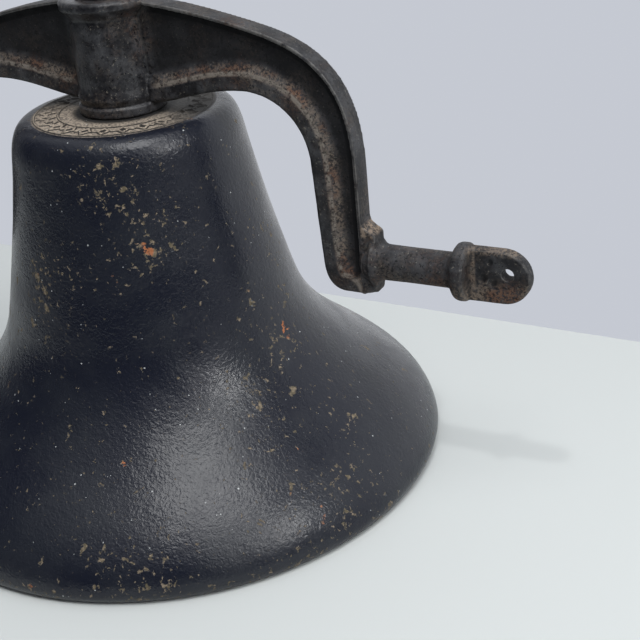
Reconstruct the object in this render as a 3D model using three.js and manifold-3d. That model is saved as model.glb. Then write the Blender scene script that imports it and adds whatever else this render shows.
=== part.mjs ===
// Yard dinner bell: a cast iron bell shell hung from a cast yoke by one centre
// bolt, with a swinging clapper on a clevis pin. Millimetres, +Z up.
// The origin is on the bell's axis, on the plane of its mouth, and X runs
// along the yoke's two journals.
import * as THREE from 'three';
import { mergeVertices } from 'three/addons/utils/BufferGeometryUtils.js';
import Module from 'manifold-3d';

const wasm = await Module();
wasm.setup();

// ---------------------------------------------------------------- dimensions

const FIT_GAP = 0.3;            // clearance between two pieces that touch

// bell shell
const MOUTH_RADIUS = 216;       // widest radius, just above the lip
const CROWN_Z = 283;            // top face of the crown
const CROWN_THICKNESS = 11;
const LIP_INNER_RADIUS = 201;   // flat ring that the bell stands on
const LIP_OUTER_RADIUS = 209;
const BOLT_HOLE_RADIUS = 9;
const CROWN_FLAT_RADIUS = 69;   // where the crown starts to round over

// yoke casting
const JOURNAL_Z = 184;          // height of the axis that the bell rocks on
const YOKE_TOP_Z = 364;
const ARM_CORNER_X = 189.3;     // outer face of a leg
const LEG_INNER_X = 154.3;
const LEG_BOTTOM_Z = 160.8;
const FLANGE_WIDTH = 16.4;
const FLANGE_THICKNESS = 2.6;
const WEB_THICKNESS = 7;
const BEAD_WIDTH = 16;          // thick inner edge of the arm
const BEAD_DEPTH = 12;
const BEAD_ROUNDING = 2;
const COVE_WIDTHS = [13.8, 11.5, 9.3]; // steps from the bead down to the web
const COVE_DEPTHS = [14.5, 17, 19.5];
const FOOT_RADIUS = 32;
const FOOT_RIM = 6.5;           // height of the foot's upright rim
const HUB_RADIUS_LOW = 29.5;
const HUB_RADIUS_HIGH = 28;
const HUB_HEAD_RADIUS = 34;     // round seat under the washer
const HUB_HEAD_THICKNESS = 7;
const BOSS_RADIUS = 18.5;
const BOSS_HALF_WIDTH = 15.5;   // the boss and the collar are narrower along Y
const BOSS_END_X = 199;
const PAD_RISE = 21.6;          // top of the boss's square pad above the journal's axis
const TOE_WIDTH = 9;
const JOURNAL_ROOT_RADIUS = 12.7; // the journal tapers a little, as cast
const JOURNAL_RADIUS = 12.3;
const COLLAR_X = 254.3;
const COLLAR_THICKNESS = 10.5;
const COLLAR_RADIUS = 20.5;
const COLLAR_HALF_WIDTH = 17.4;
const TAB_THICKNESS = 9.5;
const TAB_EDGE_ROUNDING = 1.6;
const TAB_HALF_HEIGHT = 19;
const TAB_END_X = 308;
const TAB_HOLE_X = 292.4;
const TAB_HOLE_RISE = 3.1;      // above the journal's axis
const TAB_HOLE_RADIUS = 4.2;

// centre bolt, which ends inside the bell as a fork for the clapper
const BOLT_RADIUS = 8;
const BOLT_CHAMFER = 1.5;
const BOLT_END_PROUD = 5;       // bolt standing out of the nut
const SHOULDER_RADIUS = 17;
const SHOULDER_THICKNESS = 8;
const FORK_WIDTH = 26;          // along Y
const FORK_GAP = 13;            // slot for the clapper's eye, along X
const FORK_LUG = 7;             // thickness of one lug
const PIVOT_Z = 238;
const FORK_END_RADIUS = 13;
const INNER_WASHER_RADIUS = 26;
const INNER_WASHER_THICKNESS = 4;
const TOP_WASHER_RADIUS = 22;
const TOP_WASHER_THICKNESS = 3;
const TOP_NUT_WIDTH = 30;
const TOP_NUT_HEIGHT = 14;

// clapper pin, a bolt through the fork
const PIN_RADIUS = 5;
const PIN_HOLE_RADIUS = 5.4;
const PIN_HEAD_WIDTH = 16;
const PIN_HEAD_THICKNESS = 6;
const PIN_NUT_THICKNESS = 8;
const PIN_END_PROUD = 6;
const COTTER_RADIUS = 1.2;      // split pin that keeps the pin's nut on
const COTTER_HOLE_RADIUS = 1.6;
const COTTER_LOOP_RADIUS = 2.6;
const COTTER_LEG = 6;

// clapper
const EYE_RADIUS = 12.5;
const EYE_THICKNESS = 11.5;
const SHANK_RADIUS_HIGH = 5.6;
const SHANK_RADIUS_LOW = 8.5;
const BALL_RADIUS = 27;
const BALL_Z = 50;
const TAIL_RADIUS = 8;
const TAIL_DROP = 33;           // end of the tail below the ball's centre

// roundness of the meshes
const BELL_STEPS = 64;
const CURVE_STEPS = 4;          // per stretch of the bell profile
const ARM_CURVE_STEPS = 14;     // per stretch of the arm outline
const HUB_STEPS = 40;
const JOURNAL_STEPS = 32;
const HARDWARE_STEPS = 24;
const COTTER_STEPS = 8;

// ------------------------------------------------------------------- helpers

function toSolid(geometry) {
  const bare = geometry.clone();
  bare.deleteAttribute('normal');
  bare.deleteAttribute('uv');
  const merged = mergeVertices(bare, 1e-4);
  return new wasm.Manifold(new wasm.Mesh({
    numProp: 3,
    vertProperties: new Float32Array(merged.attributes.position.array),
    triVerts: new Uint32Array(merged.index.array),
  }));
}

function toGeometry(solid) {
  const mesh = solid.getMesh();
  const geometry = new THREE.BufferGeometry();
  geometry.setAttribute('position', new THREE.BufferAttribute(mesh.vertProperties, 3));
  geometry.setIndex(new THREE.BufferAttribute(mesh.triVerts, 1));
  return geometry;
}

function joined(geometries) {
  return geometries.map(toSolid).reduce((whole, piece) => whole.add(piece));
}

function points(pairs) {
  return pairs.map(([across, up]) => new THREE.Vector2(across, up));
}

// a solid of revolution about Z from [radius, z] points, starting and ending
// on the axis
function turned(profile, steps) {
  return new THREE.LatheGeometry(points(profile), steps).rotateX(Math.PI / 2);
}

// the same about X, from [radius, x] points
function turnedAlongX(profile, steps) {
  return new THREE.LatheGeometry(points(profile), steps).rotateZ(-Math.PI / 2);
}

// a flat shape drawn in X and Z, given a thickness along Y and centred on y = 0
function plate(shape, thickness, bevel = 0) {
  const geometry = new THREE.ExtrudeGeometry(shape, {
    depth: thickness - 2 * bevel,
    bevelEnabled: bevel > 0,
    bevelThickness: bevel,
    bevelSize: bevel,
    bevelOffset: -bevel,
    bevelSegments: 2,
    curveSegments: 12,
    steps: 1,
  });
  return geometry.rotateX(Math.PI / 2).translate(0, thickness / 2 - bevel, 0);
}

function mirroredX(solid) {
  return solid.mirror([1, 0, 0]);
}

// ---------------------------------------------------------------- bell shell

function bellOutside() {
  const path = new THREE.Path();
  path.moveTo(LIP_OUTER_RADIUS, 0);
  path.bezierCurveTo(213, 0, MOUTH_RADIUS, 4, MOUTH_RADIUS, 9);
  path.bezierCurveTo(214.5, 25, 191.4, 45, 174, 59);
  path.bezierCurveTo(144, 83, 120.5, 107, 112, 140);
  path.bezierCurveTo(102, 178, 92, 222, 86, 259);
  path.bezierCurveTo(84, 271, 81, CROWN_Z, CROWN_FLAT_RADIUS, CROWN_Z);
  return path.getPoints(CURVE_STEPS);
}

function bellInside() {
  const under = CROWN_Z - CROWN_THICKNESS;
  const path = new THREE.Path();
  path.moveTo(62, under);
  path.bezierCurveTo(72, under, 75.5, 264, 77, 254);
  path.bezierCurveTo(83, 215, 92.8, 174, 102.5, 137);
  path.bezierCurveTo(110, 104, 133, 79, 158, 57);
  path.bezierCurveTo(174, 43, 197, 18, LIP_INNER_RADIUS, 0);
  return path.getPoints(CURVE_STEPS);
}

function bellShell() {
  const under = CROWN_Z - CROWN_THICKNESS;
  const profile = [
    ...bellOutside(),
    new THREE.Vector2(BOLT_HOLE_RADIUS, CROWN_Z),
    new THREE.Vector2(BOLT_HOLE_RADIUS, under),
    ...bellInside(),
    new THREE.Vector2(LIP_OUTER_RADIUS, 0),
  ];
  const geometry = new THREE.LatheGeometry(profile, BELL_STEPS);
  return toSolid(geometry.rotateX(Math.PI / 2));
}

// ---------------------------------------------------------------------- yoke

// top of the right arm and outer face of its leg, from the middle outwards
function armOutside() {
  const path = new THREE.Path();
  path.moveTo(0, YOKE_TOP_Z);
  path.bezierCurveTo(38, YOKE_TOP_Z, 80, 356, 121, 344.7);
  path.bezierCurveTo(162, 333.4, ARM_CORNER_X, 312.5, ARM_CORNER_X, 255);
  path.lineTo(ARM_CORNER_X, LEG_BOTTOM_Z);
  return path.getPoints(ARM_CURVE_STEPS);
}

// underside of the right arm and inner face of its leg, from the foot outwards
function armInside() {
  const path = new THREE.Path();
  path.moveTo(0, 289);
  path.lineTo(30, 289.6);
  path.bezierCurveTo(58, 293, 78, 302.2, 106, 302.2);
  path.bezierCurveTo(131, 302, 152, 284, LEG_INNER_X, 257);
  path.lineTo(157.6, 182);
  path.bezierCurveTo(158, 170, 163, LEG_BOTTOM_Z, 174, LEG_BOTTOM_Z);
  path.lineTo(ARM_CORNER_X, LEG_BOTTOM_Z);
  return path.getPoints(ARM_CURVE_STEPS);
}

// a line of points moved sideways by a distance, to the right of its direction
function offset(line, distance) {
  return line.map((point, i) => {
    const before = line[Math.max(i - 1, 0)];
    const after = line[Math.min(i + 1, line.length - 1)];
    const along = after.clone().sub(before).normalize();
    return new THREE.Vector2(point.x + along.y * distance, point.y - along.x * distance);
  });
}

function strip(line, depth, width, bevel = 0) {
  const edge = offset(line, depth);
  return plate(new THREE.Shape([...line, ...edge.reverse()]), width, bevel);
}

function web() {
  const outside = armOutside();
  const inside = armInside().slice(0, -1).reverse();
  return plate(new THREE.Shape([...outside, ...inside]), WEB_THICKNESS);
}

function hub() {
  const foot = CROWN_Z + FIT_GAP;
  const head = YOKE_TOP_Z - HUB_HEAD_THICKNESS;
  return turned([
    [0, foot],
    [FOOT_RADIUS - 1, foot],
    [FOOT_RADIUS, foot + 1],
    [FOOT_RADIUS, foot + FOOT_RIM],
    [FOOT_RADIUS - 2, foot + FOOT_RIM + 1.5],
    [HUB_RADIUS_LOW + 2, foot + FOOT_RIM + 6],
    [HUB_RADIUS_LOW, foot + FOOT_RIM + 13],
    [HUB_RADIUS_HIGH, head - 5],
    [HUB_RADIUS_HIGH + 2, head - 2],
    [HUB_HEAD_RADIUS - 2, head],
    [HUB_HEAD_RADIUS, head + 2],
    [HUB_HEAD_RADIUS, YOKE_TOP_Z - 1],
    [HUB_HEAD_RADIUS - 2, YOKE_TOP_Z + 1],
    [0, YOKE_TOP_Z + 1],
  ], HUB_STEPS);
}

// square pad that carries the boss: the leg's outer face swells out to it
function pad() {
  const top = JOURNAL_Z + PAD_RISE;
  const shape = new THREE.Shape(points([
    [ARM_CORNER_X - 2, LEG_BOTTOM_Z],
    [ARM_CORNER_X + 1, LEG_BOTTOM_Z + 0.6],
    [BOSS_END_X - 4, LEG_BOTTOM_Z + 1.6],
    [BOSS_END_X - 1.5, LEG_BOTTOM_Z + 4],
    [BOSS_END_X - 0.4, LEG_BOTTOM_Z + 8],
    [BOSS_END_X, LEG_BOTTOM_Z + 13],
    [BOSS_END_X, top - 1],
    [BOSS_END_X - 0.7, top + 0.3],
    [ARM_CORNER_X + 4.2, top + 3.3],
    [ARM_CORNER_X + 1.2, top + 6],
    [ARM_CORNER_X - 0.4, top + 12],
    [ARM_CORNER_X - 2, top + 12],
  ]));
  return plate(shape, FLANGE_WIDTH - 0.8);
}

// narrow squarer toe under the pad
function toe() {
  const shape = new THREE.Shape(points([
    [ARM_CORNER_X - 2, LEG_BOTTOM_Z + 0.3],
    [BOSS_END_X - 3, LEG_BOTTOM_Z + 0.6],
    [BOSS_END_X - 1, LEG_BOTTOM_Z + 1.6],
    [BOSS_END_X - 0.2, LEG_BOTTOM_Z + 3.6],
    [BOSS_END_X - 0.2, JOURNAL_Z],
    [ARM_CORNER_X - 2, JOURNAL_Z],
  ]));
  return plate(shape, TOE_WIDTH);
}

// a solid of revolution about the journal's axis, from [radius, x] points
// starting and ending on the axis, with its Y then scaled
function aboutJournal(profile, scaleY = 1) {
  const geometry = turnedAlongX(profile, JOURNAL_STEPS).scale(1, scaleY, 1);
  return geometry.translate(0, 0, JOURNAL_Z);
}

function boss() {
  const root = FLANGE_WIDTH / 2;
  return aboutJournal([
    [0, ARM_CORNER_X - 4],
    [root, ARM_CORNER_X - 4],
    [root + 2, ARM_CORNER_X - 0.5],
    [root + 5, ARM_CORNER_X + 2.5],
    [BOSS_RADIUS - 0.5, BOSS_END_X - 3.5],
    [BOSS_RADIUS, BOSS_END_X - 2.5],
    [BOSS_RADIUS - 0.8, BOSS_END_X - 1],
    [BOSS_RADIUS - 2.8, BOSS_END_X],
    [0, BOSS_END_X],
  ], BOSS_HALF_WIDTH / BOSS_RADIUS);
}

// the round bar that turns in the bracket, with its fillets
function journal() {
  return aboutJournal([
    [0, ARM_CORNER_X],
    [JOURNAL_ROOT_RADIUS, ARM_CORNER_X],
    [JOURNAL_ROOT_RADIUS + 2.6, BOSS_END_X - 0.5],
    [JOURNAL_ROOT_RADIUS + 1, BOSS_END_X + 1.5],
    [JOURNAL_ROOT_RADIUS, BOSS_END_X + 4.5],
    [JOURNAL_RADIUS, COLLAR_X - 2.5],
    [JOURNAL_RADIUS + 1.5, COLLAR_X - 0.5],
    [JOURNAL_RADIUS + 1.5, COLLAR_X + 1],
    [0, COLLAR_X + 1],
  ]);
}

function collar() {
  const end = COLLAR_X + COLLAR_THICKNESS;
  return aboutJournal([
    [0, COLLAR_X],
    [COLLAR_RADIUS - 4, COLLAR_X],
    [COLLAR_RADIUS - 1, COLLAR_X + 2],
    [COLLAR_RADIUS, COLLAR_X + 4.5],
    [COLLAR_RADIUS, end - 1.5],
    [COLLAR_RADIUS - 1.5, end],
    [0, end],
  ], COLLAR_HALF_WIDTH / COLLAR_RADIUS);
}

function tabShape() {
  const start = COLLAR_X + COLLAR_THICKNESS / 2;
  const roundX = TAB_END_X - TAB_HALF_HEIGHT;
  const shape = new THREE.Shape();
  shape.moveTo(start, JOURNAL_Z - TAB_HALF_HEIGHT);
  shape.lineTo(roundX, JOURNAL_Z - TAB_HALF_HEIGHT);
  shape.absarc(roundX, JOURNAL_Z, TAB_HALF_HEIGHT, -Math.PI / 2, Math.PI / 2);
  shape.lineTo(start, JOURNAL_Z + TAB_HALF_HEIGHT);
  shape.closePath();
  return shape;
}

function tabHole() {
  const circle = new THREE.Shape();
  circle.absarc(TAB_HOLE_X, JOURNAL_Z + TAB_HOLE_RISE, TAB_HOLE_RADIUS, 0, 2 * Math.PI);
  return toSolid(plate(circle, TAB_THICKNESS + 2));
}

function yoke() {
  const arm = joined([
    web(),
    strip(armOutside(), FLANGE_THICKNESS, FLANGE_WIDTH),
    strip(armInside().slice(1), -BEAD_DEPTH, BEAD_WIDTH, BEAD_ROUNDING),
    ...COVE_DEPTHS.map((depth, i) => strip(armInside().slice(1), -depth, COVE_WIDTHS[i])),
    pad(),
    toe(),
    boss(),
    journal(),
    collar(),
    plate(tabShape(), TAB_THICKNESS, TAB_EDGE_ROUNDING),
  ]).subtract(tabHole());
  const bore = turned([
    [0, CROWN_Z - 5],
    [BOLT_HOLE_RADIUS, CROWN_Z - 5],
    [BOLT_HOLE_RADIUS, YOKE_TOP_Z + 5],
    [0, YOKE_TOP_Z + 5],
  ], HARDWARE_STEPS);
  return arm.add(mirroredX(arm)).add(toSolid(hub())).subtract(toSolid(bore));
}

// --------------------------------------------------- centre bolt and its nut

const INNER_WASHER_TOP = CROWN_Z - CROWN_THICKNESS - FIT_GAP;
const SHOULDER_TOP = INNER_WASHER_TOP - INNER_WASHER_THICKNESS - FIT_GAP;
const TOP_WASHER_Z = YOKE_TOP_Z + 1 + FIT_GAP;
const TOP_NUT_Z = TOP_WASHER_Z + TOP_WASHER_THICKNESS + FIT_GAP;
const BOLT_TOP_Z = TOP_NUT_Z + TOP_NUT_HEIGHT + BOLT_END_PROUD;

// one lug of the fork, drawn in Y and Z and given a thickness along X
function forkLug(x) {
  const shape = new THREE.Shape();
  shape.moveTo(-FORK_WIDTH / 2, SHOULDER_TOP - SHOULDER_THICKNESS + 1);
  shape.lineTo(-FORK_END_RADIUS, PIVOT_Z);
  shape.absarc(0, PIVOT_Z, FORK_END_RADIUS, -Math.PI, 0);
  shape.lineTo(FORK_WIDTH / 2, SHOULDER_TOP - SHOULDER_THICKNESS + 1);
  shape.closePath();
  const hole = new THREE.Path();
  hole.absarc(0, PIVOT_Z, PIN_HOLE_RADIUS, 0, 2 * Math.PI);
  shape.holes.push(hole);
  return plate(shape, FORK_LUG).rotateZ(Math.PI / 2).translate(x, 0, 0);
}

function centreBolt() {
  const shank = turned([
    [0, SHOULDER_TOP - SHOULDER_THICKNESS],
    [SHOULDER_RADIUS - 1, SHOULDER_TOP - SHOULDER_THICKNESS],
    [SHOULDER_RADIUS, SHOULDER_TOP - SHOULDER_THICKNESS + 1],
    [SHOULDER_RADIUS, SHOULDER_TOP],
    [BOLT_RADIUS, SHOULDER_TOP],
    [BOLT_RADIUS, BOLT_TOP_Z - BOLT_CHAMFER],
    [BOLT_RADIUS - BOLT_CHAMFER, BOLT_TOP_Z],
    [0, BOLT_TOP_Z],
  ], HARDWARE_STEPS);
  const lugX = (FORK_GAP + FORK_LUG) / 2;
  return joined([shank, forkLug(-lugX), forkLug(lugX)]);
}

// a flat washer lying level, with its lower face at a height
function washer(radius, hole, thickness, bottom) {
  return toSolid(turned([
    [hole, bottom],
    [radius, bottom],
    [radius, bottom + thickness],
    [hole, bottom + thickness],
    [hole, bottom],
  ], HARDWARE_STEPS));
}

// a square nut or bolt head, its faces eased at the corners, centred on Z
function squareBlock(width, height, holeRadius) {
  const half = width / 2;
  const ease = width / 12;
  const shape = new THREE.Shape(points([
    [-half + ease, -half],
    [half - ease, -half],
    [half, -half + ease],
    [half, half - ease],
    [half - ease, half],
    [-half + ease, half],
    [-half, half - ease],
    [-half, -half + ease],
  ]));
  if (holeRadius > 0) {
    const hole = new THREE.Path();
    hole.absarc(0, 0, holeRadius, 0, 2 * Math.PI);
    shape.holes.push(hole);
  }
  return new THREE.ExtrudeGeometry(shape, { depth: height, bevelEnabled: false });
}

function topNut() {
  const block = squareBlock(TOP_NUT_WIDTH, TOP_NUT_HEIGHT, BOLT_RADIUS + FIT_GAP);
  return toSolid(block.rotateZ(Math.PI / 9).translate(0, 0, TOP_NUT_Z));
}

// --------------------------------------------------------------- clapper pin

const FORK_OUTER_X = FORK_GAP / 2 + FORK_LUG;
const COTTER_X = FORK_OUTER_X + FIT_GAP + PIN_NUT_THICKNESS + PIN_END_PROUD / 2;

function clapperPin() {
  const headX = -FORK_OUTER_X - FIT_GAP;
  const endX = FORK_OUTER_X + FIT_GAP + PIN_NUT_THICKNESS + PIN_END_PROUD;
  const shank = turnedAlongX([
    [0, headX - 1],
    [PIN_RADIUS, headX - 1],
    [PIN_RADIUS, endX - 1],
    [PIN_RADIUS - 1, endX],
    [0, endX],
  ], HARDWARE_STEPS);
  const head = squareBlock(PIN_HEAD_WIDTH, PIN_HEAD_THICKNESS, 0)
    .rotateY(Math.PI / 2)
    .translate(headX - PIN_HEAD_THICKNESS, 0, 0);
  const cotterHole = new THREE.CylinderGeometry(
    COTTER_HOLE_RADIUS,
    COTTER_HOLE_RADIUS,
    4 * PIN_RADIUS,
    COTTER_STEPS,
  ).rotateX(Math.PI / 2).translate(COTTER_X, 0, 0);
  return joined([shank, head]).subtract(toSolid(cotterHole));
}

// split pin: a loop above the pin, and two legs bent apart below it
function pinCotter() {
  const loopZ = PIN_RADIUS + FIT_GAP + COTTER_LOOP_RADIUS + COTTER_RADIUS;
  const shankLength = loopZ - COTTER_LOOP_RADIUS + PIN_RADIUS + 2 * COTTER_RADIUS;
  const round = [COTTER_RADIUS, COTTER_RADIUS];
  const shank = new THREE.CylinderGeometry(...round, shankLength, COTTER_STEPS)
    .rotateX(Math.PI / 2)
    .translate(0, 0, loopZ - COTTER_LOOP_RADIUS - shankLength / 2);
  const loop = new THREE.TorusGeometry(COTTER_LOOP_RADIUS, COTTER_RADIUS, COTTER_STEPS, 16)
    .rotateY(Math.PI / 2)
    .translate(0, 0, loopZ);
  const legs = [-1, 1].map((side) => {
    const leg = new THREE.CylinderGeometry(...round, COTTER_LEG, COTTER_STEPS);
    return leg
      .translate(0, COTTER_LEG / 2 - COTTER_RADIUS, 0)
      .rotateX(side > 0 ? -Math.PI / 5 : Math.PI + Math.PI / 5)
      .translate(0, 0, loopZ - COTTER_LOOP_RADIUS - shankLength + COTTER_RADIUS);
  });
  return joined([shank, loop, ...legs]).translate([COTTER_X, 0, 0]);
}

function pinNut() {
  const block = squareBlock(PIN_HEAD_WIDTH, PIN_NUT_THICKNESS, PIN_RADIUS + FIT_GAP);
  return toSolid(block.rotateY(Math.PI / 2).translate(FORK_OUTER_X + FIT_GAP, 0, 0));
}

// ------------------------------------------------------------------- clapper

// drawn about its pivot: z = 0 is the centre of the eye
function clapper() {
  const ballZ = BALL_Z - PIVOT_Z;
  const meet = Math.sqrt(BALL_RADIUS ** 2 - TAIL_RADIUS ** 2);
  const ball = [];
  const ballSteps = 12;
  const first = Math.asin(TAIL_RADIUS / BALL_RADIUS);
  const last = Math.PI - Math.asin(SHANK_RADIUS_LOW / BALL_RADIUS);
  for (let i = 0; i <= ballSteps; i += 1) {
    const angle = first + (last - first) * i / ballSteps;
    ball.push([BALL_RADIUS * Math.sin(angle), ballZ - BALL_RADIUS * Math.cos(angle)]);
  }
  const rod = turned([
    [0, ballZ - TAIL_DROP],
    [TAIL_RADIUS - 3, ballZ - TAIL_DROP],
    [TAIL_RADIUS, ballZ - TAIL_DROP + 2],
    [TAIL_RADIUS, ballZ - meet - 1],
    ...ball,
    [SHANK_RADIUS_HIGH, -EYE_RADIUS + 3],
    [0, -EYE_RADIUS + 3],
  ], HARDWARE_STEPS);
  const eyeShape = new THREE.Shape();
  eyeShape.absarc(0, 0, EYE_RADIUS, 0, 2 * Math.PI);
  const hole = new THREE.Path();
  hole.absarc(0, 0, PIN_HOLE_RADIUS, 0, 2 * Math.PI);
  eyeShape.holes.push(hole);
  const eye = plate(eyeShape, EYE_THICKNESS).rotateZ(Math.PI / 2);
  return joined([rod, eye]);
}

// ------------------------------------------------------------------ assembly

const BLACK_PAINT = { color: 0x1b1e27, roughness: 0.4, metalness: 0.1 };
const WORN_IRON = { color: 0x2e2c2b, roughness: 0.75, metalness: 0.4 };
const RUSTED_STEEL = { color: 0x4a3428, roughness: 0.85, metalness: 0.4 };

const bell = new THREE.Group();

function addPiece(name, solid, finish, z = 0) {
  const mesh = new THREE.Mesh(toGeometry(solid), new THREE.MeshStandardMaterial(finish));
  mesh.name = name;
  mesh.position.z = z;
  bell.add(mesh);
}

addPiece('bell_shell', bellShell(), BLACK_PAINT);
addPiece('yoke', yoke(), WORN_IRON);
addPiece('centre_bolt', centreBolt(), RUSTED_STEEL);
addPiece('inner_washer', washer(
  INNER_WASHER_RADIUS,
  BOLT_HOLE_RADIUS,
  INNER_WASHER_THICKNESS,
  INNER_WASHER_TOP - INNER_WASHER_THICKNESS,
), RUSTED_STEEL);
addPiece('top_washer', washer(
  TOP_WASHER_RADIUS,
  BOLT_HOLE_RADIUS,
  TOP_WASHER_THICKNESS,
  TOP_WASHER_Z,
), RUSTED_STEEL);
addPiece('top_nut', topNut(), RUSTED_STEEL);
addPiece('clapper', clapper(), WORN_IRON, PIVOT_Z);
addPiece('clapper_pin', clapperPin(), RUSTED_STEEL, PIVOT_Z);
addPiece('clapper_pin_nut', pinNut(), RUSTED_STEEL, PIVOT_Z);
addPiece('clapper_pin_cotter', pinCotter(), RUSTED_STEEL, PIVOT_Z);

export default bell;
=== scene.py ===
"""Looks of the yard dinner bell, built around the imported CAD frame.

Lengths are metres unless a name ends in _MM. The bell's axis is Z, its mouth is
at z = 0, and the yoke's journals lie along X. The studio is laid out as the
camera sees it, and turned against the bell by YOKE_TURN.
"""

import math

import bmesh
import bpy
import numpy as np
from mathutils import Matrix, Vector, noise


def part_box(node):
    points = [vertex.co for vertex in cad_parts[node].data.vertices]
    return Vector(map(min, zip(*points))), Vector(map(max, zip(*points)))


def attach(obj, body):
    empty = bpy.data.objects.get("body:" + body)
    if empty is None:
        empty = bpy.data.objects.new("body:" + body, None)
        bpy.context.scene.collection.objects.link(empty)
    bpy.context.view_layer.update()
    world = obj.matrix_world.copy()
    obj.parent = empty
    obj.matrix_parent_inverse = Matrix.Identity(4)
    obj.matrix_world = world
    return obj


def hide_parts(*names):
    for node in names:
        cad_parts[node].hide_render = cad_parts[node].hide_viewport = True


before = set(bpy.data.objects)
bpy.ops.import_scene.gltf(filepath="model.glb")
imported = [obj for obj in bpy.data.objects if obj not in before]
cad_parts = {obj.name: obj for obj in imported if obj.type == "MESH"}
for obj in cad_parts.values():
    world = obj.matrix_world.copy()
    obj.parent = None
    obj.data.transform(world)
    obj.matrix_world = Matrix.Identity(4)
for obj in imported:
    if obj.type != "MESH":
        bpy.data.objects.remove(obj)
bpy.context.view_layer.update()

MM = 0.001
YOKE_TURN = math.radians(38.0)      # how far the right arm is turned towards the camera

# ------------------------------------------------------------------ camera

CAMERA_DISTANCE = 0.8683            # from the bell's axis, level
CAMERA_HEIGHT = 0.526
CAMERA_PAN = math.radians(8.39)     # right of the axis
CAMERA_PITCH = math.radians(26.71)  # below level
CAMERA_ROLL = math.radians(5.75)
CAMERA_LENS = 67.5                  # on a 36 mm sensor


def studio(x, y, z):
    """A direction given as right, away and up, in the bell's own frame."""
    return Matrix.Rotation(YOKE_TURN, 3, "Z") @ Vector((x, y, z))


def add_camera():
    """Looks down past the bell's axis, rolled a little."""
    forward = Vector((
        math.sin(CAMERA_PAN) * math.cos(CAMERA_PITCH),
        math.cos(CAMERA_PAN) * math.cos(CAMERA_PITCH),
        -math.sin(CAMERA_PITCH),
    ))
    right = Vector((math.cos(CAMERA_PAN), -math.sin(CAMERA_PAN), 0))
    up = right.cross(forward)
    rolled_right = right * math.cos(CAMERA_ROLL) - up * math.sin(CAMERA_ROLL)
    rolled_up = rolled_right.cross(forward)
    rotation = Matrix((rolled_right, rolled_up, -forward)).transposed().to_4x4()
    place = Matrix.Translation((0, -CAMERA_DISTANCE, CAMERA_HEIGHT))
    camera = bpy.data.objects.new("camera", bpy.data.cameras.new("camera"))
    camera.data.lens = CAMERA_LENS
    camera.matrix_world = Matrix.Rotation(YOKE_TURN, 4, "Z") @ place @ rotation
    bpy.context.scene.collection.objects.link(camera)
    bpy.context.scene.camera = camera


# ---------------------------------------------------------- stage and light

FLOOR_COLOR = (0.526, 0.551, 0.545, 1)
WALL_COLOR = (0.56, 0.585, 0.645, 1)
FLOOR_BACK = 0.279                  # back edge of the floor, behind the axis
FLOOR_FRONT = -1.1
FLOOR_HALF_WIDTH = 1.5
FLOOR_TURN = math.radians(-1.44)
FLOOR_ROUGHNESS = 0.7

# glow of the room: the direction it comes from as right, away and up, the
# cosines between which it rises, and its colour
ROOM_DARK = (0.05, 0.055, 0.07, 1)
ROOM_GLOWS = (
    ((0.72, 0.55, 0.15), -0.25, 0.85, (0.88, 0.90, 0.93, 1)),
    ((0.15, -0.05, 1), 0.42, 0.92, (0.80, 0.82, 0.86, 1)),
)

# name, direction as right, away and up, distance, size, power, seen in reflections
LIT_HEIGHT = 0.15                   # the lights aim at this height on the axis
LIGHTS = (
    ("softbox", (0.08, -0.42, 0.91), 1.8, 1.00, 17.5, True),
    ("window", (0.52, -0.66, 0.52), 2.0, 0.38, 7.0, True),
    ("front", (0.38, -0.80, 0.48), 2.0, 1.15, 4.8, True),
    ("sun", (-0.20, -0.31, 0.93), 6.0, 0.22, 60, False),
)

# socket numbers of a colour Mix node
MIX_AMOUNT = 0
MIX_FIRST = 6
MIX_SECOND = 7
MIX_RESULT = 2


def put(tree, socket, value):
    """Feeds a socket with another socket, or sets its value."""
    if isinstance(value, bpy.types.NodeSocket):
        tree.links.new(value, socket)
    else:
        socket.default_value = value


def mixed(tree, amount, first, second):
    """A colour that turns from the first into the second as the amount rises."""
    node = tree.nodes.new("ShaderNodeMix")
    node.data_type = "RGBA"
    put(tree, node.inputs[MIX_AMOUNT], amount)
    put(tree, node.inputs[MIX_FIRST], first)
    put(tree, node.inputs[MIX_SECOND], second)
    return node.outputs[MIX_RESULT]


def add_floor():
    floor = bpy.data.objects.new("floor", bpy.data.meshes.new("floor"))
    corners = [
        (-FLOOR_HALF_WIDTH, FLOOR_FRONT, 0),
        (FLOOR_HALF_WIDTH, FLOOR_FRONT, 0),
        (FLOOR_HALF_WIDTH, FLOOR_BACK, 0),
        (-FLOOR_HALF_WIDTH, FLOOR_BACK, 0),
    ]
    floor.data.from_pydata(corners, [], [(0, 1, 2, 3)])
    floor.rotation_euler.z = FLOOR_TURN
    bpy.context.scene.collection.objects.link(floor)
    material = bpy.data.materials.new("floor")
    material.use_nodes = True
    shader = material.node_tree.nodes["Principled BSDF"]
    shader.inputs["Base Color"].default_value = FLOOR_COLOR
    shader.inputs["Roughness"].default_value = FLOOR_ROUGHNESS
    floor.data.materials.append(material)


def add_area_light(name, direction, distance, size, power, glossy):
    light = bpy.data.lights.new(name, "AREA")
    light.size = size
    light.energy = power
    lamp = bpy.data.objects.new(name, light)
    toward = studio(*direction).normalized()
    lamp.location = toward * distance + Vector((0, 0, LIT_HEIGHT))
    lamp.rotation_euler = toward.to_track_quat("Z", "Y").to_euler()
    lamp.visible_glossy = glossy
    bpy.context.scene.collection.objects.link(lamp)


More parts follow.
